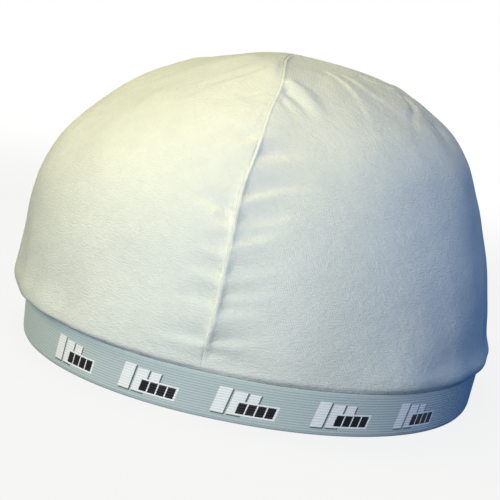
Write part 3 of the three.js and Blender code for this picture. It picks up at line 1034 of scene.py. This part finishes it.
@dataclass
class Crown:
    """The two cloth panels, the seam allowance under their seam, and its overlock threads."""

    form: CrownForm
    allowance_thickness: float = 0.9 * MM
    allowance_overlap: float = 1.2 * MM
    allowance_gap: float = 0.3 * MM
    allowance_drop: float = 0.6 * MM
    # Room for the inside of the seam's groove
    allowance_room: float = 0.35 * MM
    allowance_ripple: float = 0.22 * MM
    allowance_columns: int = 15
    # First mesh row of the allowance, above the overhang
    allowance_start: int = 42
    thread_radius: float = 0.14 * MM
    thread_gap: float = 0.2 * MM
    overlock_pitch: float = 2.4 * MM
    overlock_width: float = 3.4 * MM

    def panel(self, side: int, name: str, origin: Vector) -> bpy.types.Object:
        """Builds one panel as a closed wall that meets itself in the apex.

        Args:
            side: LEFT or RIGHT.
            name: Name of the piece.
            origin: Where the middle of the band's rim stands.

        Returns:
            The panel.
        """
        outer, inner = self.form.skin(side)
        plan = np.stack([arc_lengths(outer, 1), arc_lengths(outer, 0)], -1)
        piece = Piece(name)
        turned = side < 0
        out, inn = piece.add_wall(outer[:-1], inner[:-1], plan[:-1], turned)
        tops = piece.add_points(np.stack([outer[-1, 0], inner[-1, 0]]), plan[-1, 0])
        for skin, top, over in ((out, tops[0], turned), (inn, tops[1], not turned)):
            row = skin[-1]
            piece.add_faces(row[:-1], row[1:], np.full(len(row) - 1, top), turned=over)
        last_out, last_inn = out[-1], inn[-1]
        piece.add_faces(*(np.array([n]) for n in (last_out[0], tops[0], tops[1], last_inn[0])),
                        turned=turned)
        piece.add_faces(*(np.array([n]) for n in (last_out[-1], last_inn[-1], tops[1], tops[0])),
                        turned=turned)
        return piece.build(origin)

    def seam_line(self) -> tuple[np.ndarray, np.ndarray]:
        """Seam from the front overhang over the apex to the back, with its inward directions."""
        angle = np.array([0.0, math.pi])
        rows = spline_rows(self.form.column_sections(RIGHT, angle), list(self.form.rows))
        first = self.allowance_start
        line = np.concatenate([rows[first:, 0], rows[first:-1, 1][::-1]])
        slope = np.gradient(line, axis=0)
        inwards = lengthwise(np.stack([np.zeros(len(line)), slope[:, 2], -slope[:, 1]], -1))
        return line, inwards

    def under(self, across: np.ndarray, depth: np.ndarray) -> np.ndarray:
        """Points beside the seam line at a distance to the right and a depth under the cloth."""
        line, inwards = self.seam_line()
        return line[:, None] + inwards[:, None] * depth[..., None] + np.stack(
            [across, np.zeros_like(across), np.zeros_like(across)], -1)

    def allowance(self, name: str, origin: Vector) -> bpy.types.Object:
        """Builds the seam allowance, a strip pressed to the left under the cloth.

        Across it runs from its free edge to a little past the seam. Its depth follows the cloth's
        inside, and it ripples gently along its free edge.

        Args:
            name: Name of the piece.
            origin: Where the middle of the band's rim stands.

        Returns:
            The strip.
        """
        line, _ = self.seam_line()
        walked = arc_lengths(line, 0)[:, None]
        share = np.linspace(0, 1, self.allowance_columns)[None]
        across = -self.form.allowance_width + share * (self.form.allowance_width
                                                       + self.allowance_overlap)
        ripple = self.allowance_ripple * np.sin(walked / (4.1 * MM)) * np.sin(
            walked / (13 * MM)) * (1 - share)
        depth = self.form.cloth + self.allowance_gap + self.allowance_room + np.abs(
            ripple) + self.allowance_drop * (1 - share)
        across = across + 0 * walked
        near, far = self.under(across, depth), self.under(across, depth + self.allowance_thickness)
        plan = np.stack(np.broadcast_arrays(walked, share * 8 * MM), -1)
        piece = Piece(name)
        out, inn = piece.add_wall(near, far, plan, turned=False)
        piece.add_rim(out[-1], inn[-1], turned=True)
        return piece.build(origin)

    def overlock(self, name: str, origin: Vector) -> bpy.types.Object:
        """Builds the threads along the allowance's free edge.

        The looper thread swings between the edge and the needle line as a sharpened sine of the
        length walked, and the needle thread runs beside it in short low arches.

        Args:
            name: Name of the piece.
            origin: Where the middle of the band's rim stands.

        Returns:
            The threads.
        """
        line, inwards = self.seam_line()
        walked = arc_lengths(line, 0)
        turns = int(walked[-1] / self.overlock_pitch)
        steps = np.linspace(0.5 * MM, walked[-1] - 0.5 * MM, turns * 8)
        centre = np.stack([np.interp(steps, walked, line[:, axis]) for axis in range(3)], -1)
        inward = lengthwise(np.stack([np.interp(steps, walked, inwards[:, axis])
                                      for axis in range(3)], -1))
        phase = 2 * math.pi * steps / self.overlock_pitch
        swing = np.tanh(1.6 * np.sin(phase)) / np.tanh(1.6)
        edge = -self.form.allowance_width
        depth = (self.form.cloth + self.allowance_gap + self.allowance_room + self.allowance_drop
                 + self.allowance_thickness + self.thread_radius + self.thread_gap)
        threads = Piece(name)
        for middle, half, rise in ((self.overlock_width / 2, self.overlock_width / 2, 0.0),
                                   (self.overlock_width, 0.12 * MM, 0.12 * MM)):
            path = centre + inward * (depth + rise * np.cos(phase * 2))[:, None]
            path[:, 0] += edge + middle + half * swing
            threads.add_tubes(path[None], self.thread_radius)
        return threads.build(origin)


@dataclass
class HeadBand:
    """The elastic band, whose ends lap at the centre back, and the threads that hold it."""

    form: BandForm
    crown: CrownForm
    rows_per_rib: int = 6
    columns: int = 600
    join_fade: float = 5 * MM
    thread_radius: float = 0.16 * MM
    zigzag_pitch: float = 3.2 * MM
    zigzag_width: float = 3.0 * MM
    # Mean radius of the band where the zigzag runs
    lap_radius: float = 85 * MM
    # Two rows of zigzag across the join: distance from its middle, half width, pitch and margins
    join_row_offset: float = 4.6 * MM
    join_row_half: float = 1.1 * MM
    join_row_pitch: float = 0.95 * MM
    join_row_margins: tuple[float, float] = (1.2 * MM, 1.4 * MM)

    def band(self, name: str, origin: Vector) -> bpy.types.Object:
        """Builds the band as one strip with two ends.

        The outside is the plan outline moved in by the rib depth times the square of a sine of
        the height. Near the end on top the strip steps out by the join's thickness, and both ends
        are pressed to the same total thickness.

        Args:
            name: Name of the piece.
            origin: Where the middle of the band's rim stands.

        Returns:
            The band.
        """
        form = self.form
        half = form.join_length / 2 / form.half_length
        fade = self.join_fade / form.half_length
        share = np.linspace(0, 1, self.columns + 1)[None]
        angle = (share * 2 - 1) * (math.pi + half)
        z = np.linspace(0, form.height, form.ribs * self.rows_per_rib + 1)[:, None]
        over = ease(math.pi - half - fade, math.pi - half, angle)
        beneath = ease(-math.pi + half + fade, -math.pi + half, angle)
        rib = form.rib_depth * np.cos(math.pi * form.ribs * z / form.height) ** 2
        edge = form.edge_inset * (hump(z / form.edge_height)
                                  + hump((z - form.height) / form.edge_height))
        pressed = (form.thickness - form.join_thickness) / 2
        outer_inset = rib + edge - form.join_thickness * over + pressed * beneath
        inner_inset = form.thickness - (form.join_thickness + pressed) * over - edge * 0.5 + 0 * z
        outer = form.point(angle, outer_inset, z + 0 * angle)
        inner = form.point(angle, inner_inset, z + 0 * angle)
        middle = form.point(share[0] * 0 + angle[0], 0.0, form.height / 2)
        walked = arc_lengths(middle, 0)
        walked -= walked[len(walked) // 2]
        plan = np.stack(np.broadcast_arrays(walked[None], z), -1)
        piece = Piece(name)
        out, inn = piece.add_wall(outer, inner, plan)
        piece.add_rim(out[-1], inn[-1], turned=True)
        return piece.build(origin)

    def join_threads(self, name: str, origin: Vector) -> bpy.types.Object:
        """Builds the two rows of close zigzag that hold the lapped ends at the back.

        Each row climbs from the rim to the top while it swings to both sides as a triangle wave.
        """
        form = self.form
        threads = Piece(name)
        low, high = self.join_row_margins
        climb = np.linspace(low, form.height - high, 97)
        swing = 2 / math.pi * np.arcsin(np.sin(2 * math.pi * climb / self.join_row_pitch))
        for centre in (-self.join_row_offset, self.join_row_offset):
            angle = math.pi + (centre + self.join_row_half * swing) / form.half_length
            path = form.point(angle, -form.join_thickness - 0.06 * MM, climb)
            threads.add_tubes(path[None], self.thread_radius)
        return threads.build(origin)

    def lap_threads(self, name: str, origin: Vector) -> bpy.types.Object:
        """Builds the zigzag round the inside of the cloth's lap, which sews it to the band.

        The thread swings up and down as a triangle wave of the angle, just inside the cloth.
        """
        form, crown = self.form, self.crown
        turns = int(2 * math.pi * self.lap_radius / self.zigzag_pitch)
        share = np.linspace(0, 1, turns * 6 + 1)
        angle = (share * 2 - 1) * (math.pi - 0.01)
        swing = 2 / math.pi * np.arcsin(np.sin(2 * math.pi * share * turns))
        z = form.height - crown.lap * 0.5 + self.zigzag_width / 2 * swing
        inset = crown.lap_inset + crown.cloth + self.thread_radius * 0.6
        threads = Piece(name)
        threads.add_tubes(form.point(angle, inset, z)[None], self.thread_radius)
        return threads.build(origin)


@dataclass(frozen=True)
class StudioLight:
    """Soft square light that faces the cap from a direction seen from the front."""

    name: str
    azimuth: float
    elevation: float
    power: float
    colour: tuple[float, float, float]
    size: float = 0.35
    distance: float = 0.9

    def build(self, target: Vector) -> None:
        """Adds the light, turned to the target."""
        lamp = bpy.data.lights.new(self.name, "AREA")
        lamp.energy = self.power
        lamp.color = self.colour
        lamp.size = self.size
        turn, rise = math.radians(self.azimuth), math.radians(self.elevation)
        back = Vector((math.sin(turn) * math.cos(rise), -math.cos(turn) * math.cos(rise),
                       math.sin(rise)))
        made = bpy.data.objects.new(self.name, lamp)
        made.location = target + back * self.distance
        made.rotation_mode = "QUATERNION"
        made.rotation_quaternion = (-back).to_track_quat("-Z", "Y")
        bpy.context.scene.collection.objects.link(made)


@dataclass
class Studio:
    """Camera at the photograph's angle, pale floor and soft lights."""

    azimuth: float = 7.207
    elevation: float = 7.98
    roll: float = 10.701
    distance: float = 600 * MM
    target_height: float = 50 * MM
    lens: float = 127.8
    # How far the picture's centre lies to the right of the target and above it
    aim: tuple[float, float] = (-8.69 * MM, -12.71 * MM)
    # The floor is flat as far as its edge and rises beyond it
    floor_edge: float = 2.2
    floor_rise: float = 2.4
    floor_paint: Colour = tone(0.06, 0.06, 0.06)
    floor_glow_near: Colour = tone(0.86, 0.86, 0.86)
    floor_glow_far: Colour = tone(1.0, 1.0, 1.0)
    lights: tuple[StudioLight, ...] = (
        StudioLight("warm_side_light", -85, 32, 3.15, (1.0, 0.90, 0.445)),
        StudioLight("warm_top_light", -130, 74, 4.1, (1.0, 0.88, 0.466)),
        StudioLight("front_light", -8, 14, 5.99, (0.967, 1.0, 0.954)),
        StudioLight("cool_side_light", 90, 14, 0.95, (0.17, 0.345, 1.0)),
        StudioLight("cool_back_light", 120, 32, 1.5, (0.36, 0.55, 1.0)),
    )

    def build_camera(self, origin: Vector) -> None:
        """Adds the camera, rolled about its own view.

        Args:
            origin: Where the middle of the band's rim stands.
        """
        turn, rise, roll = (math.radians(x) for x in (self.azimuth, self.elevation, self.roll))
        back = Vector((math.sin(turn) * math.cos(rise), -math.cos(turn) * math.cos(rise),
                       math.sin(rise)))
        level = Vector((math.cos(turn), math.sin(turn), 0))
        over = back.cross(level)
        right = math.cos(roll) * level + math.sin(roll) * over
        upward = -math.sin(roll) * level + math.cos(roll) * over
        target = origin + Vector((0, 0, self.target_height))
        place = target + back * self.distance
        aimed = target + right * self.aim[0] + upward * self.aim[1]
        out = (place - aimed).normalized()
        side = upward.cross(out).normalized()
        over = out.cross(side)
        camera = bpy.data.cameras.new("camera")
        camera.lens = self.lens
        camera.clip_start, camera.clip_end = 0.05, 50
        made = bpy.data.objects.new("camera", camera)
        made.matrix_world = Matrix.LocRotScale(
            place, Matrix((side, over, out)).transposed().to_quaternion(), None)
        bpy.context.scene.collection.objects.link(made)
        bpy.context.scene.camera = made

    def build_floor(self) -> None:
        """Adds the pale floor, a round sheet that is flat under the cap and rises far from it.

        Its height at a distance from the middle is the rise times the square of how far the
        distance is beyond the edge, as a share of the edge's distance.
        """
        reach = np.concatenate([np.linspace(0.05, 1, 12), np.linspace(1.05, 2.0, 20)])[:, None]
        reach = reach * self.floor_edge
        turn = np.linspace(0, 2 * math.pi, 73)[None, :-1]
        lift = self.floor_rise * np.maximum(reach / self.floor_edge - 1, 0) ** 2
        ring = np.stack(np.broadcast_arrays(reach * np.cos(turn), reach * np.sin(turn), lift), -1)
        numbers = np.arange(ring[..., 0].size).reshape(ring.shape[:2])
        onward = np.roll(numbers, -1, axis=1)
        faces = np.stack([numbers[:-1], numbers[1:], onward[1:], onward[:-1]], -1).reshape(-1, 4)
        mesh = bpy.data.meshes.new("floor")
        mesh.from_pydata(ring.reshape(-1, 3), [], [numbers[0].tolist(), *faces.tolist()])
        mesh.polygons.foreach_set("use_smooth", np.ones(len(mesh.polygons), bool))
        floor = bpy.data.objects.new("floor", mesh)
        floor.visible_diffuse = False
        floor.visible_glossy = False
        bpy.context.scene.collection.objects.link(floor)
        graph = Graph("floor_paint")
        spread = graph.node("VectorMath", {"operation": "LENGTH"}, {0: graph.objectwise()})
        share = graph.signal(spread, "Value").step(0.25, 0.7)
        mesh.materials.append(graph.finish({
            "Base Color": self.floor_paint,
            "Roughness": graph.noise(graph.objectwise(), 900.0) * 0.1 + 0.8,
            "Emission Color": graph.mix(share, self.floor_glow_near, self.floor_glow_far),
            "Emission Strength": 1.0,
            "Specular IOR Level": 0.0,
        }))

    def build_world(self) -> None:
        """Makes the backdrop white to the camera and a soft cool fill to the cap."""
        world = bpy.data.worlds.new("studio")
        bpy.context.scene.world = world
        world.use_nodes = True
        tree = world.node_tree
        tree.nodes.clear()
        fill = tree.nodes.new("ShaderNodeBackground")
        fill.inputs["Color"].default_value = tone(0.02, 0.40, 1.0)
        fill.inputs["Strength"].default_value = 0.09
        backdrop = tree.nodes.new("ShaderNodeBackground")
        backdrop.inputs["Color"].default_value = tone(1.0, 1.0, 1.0)
        blend = tree.nodes.new("ShaderNodeMixShader")
        path = tree.nodes.new("ShaderNodeLightPath")
        output = tree.nodes.new("ShaderNodeOutputWorld")
        tree.links.new(path.outputs["Is Camera Ray"], blend.inputs[0])
        tree.links.new(fill.outputs[0], blend.inputs[1])
        tree.links.new(backdrop.outputs[0], blend.inputs[2])
        tree.links.new(blend.outputs[0], output.inputs["Surface"])

    def build(self, origin: Vector) -> None:
        """Adds everything round the cap."""
        self.build_camera(origin)
        self.build_floor()
        self.build_world()
        for light in self.lights:
            light.build(origin + Vector((0, 0, self.target_height)))
        bpy.context.scene.view_settings.view_transform = "Standard"


@dataclass(frozen=True)
class Cut:
    """Flat size of a cloth before it was sewn, in metres and square metres."""

    width: float
    length: float
    area: float


def dress(piece: bpy.types.Object, material: bpy.types.Material,
          nodes: tuple[str, ...] = ()) -> None:
    """Gives a piece its finish and its place in the model, and hides the CAD parts it stands for.

    Args:
        piece: The piece.
        material: Its material.
        nodes: CAD nodes that it stands for.
    """
    piece.data.materials.append(material)
    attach(piece, BODY)
    if nodes:
        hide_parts(*nodes)
    LOG.info("%s: %d faces", piece.name, len(piece.data.polygons))


def main() -> None:
    """Builds the cap and the studio, piece by piece."""
    logging.basicConfig(level=logging.INFO, format="%(name)s: %(message)s")
    low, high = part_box("head_band")
    band_form = BandForm()
    origin = Vector(((low.x + high.x) / 2, low.y + band_form.half_length, 0))
    crown_form = CrownForm(band_form)
    crown, head_band = Crown(crown_form), HeadBand(band_form, crown_form)
    cloth = StretchClothFinish().material()
    elastic = RibbedElasticFinish().material()
    thread = ThreadFinish().material()
    for side, word in ((LEFT, "left"), (RIGHT, "right")):
        dress(crown.panel(side, f"cloth_panel_{word}", origin), cloth,
              (f"crown_panel_{word}",))
    dress(crown.allowance("cloth_seam_allowance", origin), cloth,
          ("crown_seam_allowance",))
    dress(crown.overlock("overlock_threads", origin), thread)
    dress(head_band.band("elastic_head_band", origin), elastic,
          ("head_band",))
    dress(head_band.join_threads("join_threads", origin), thread)
    dress(head_band.lap_threads("lap_threads", origin), thread)
    Studio().build(origin)


if __name__ == "__main__":
    main()
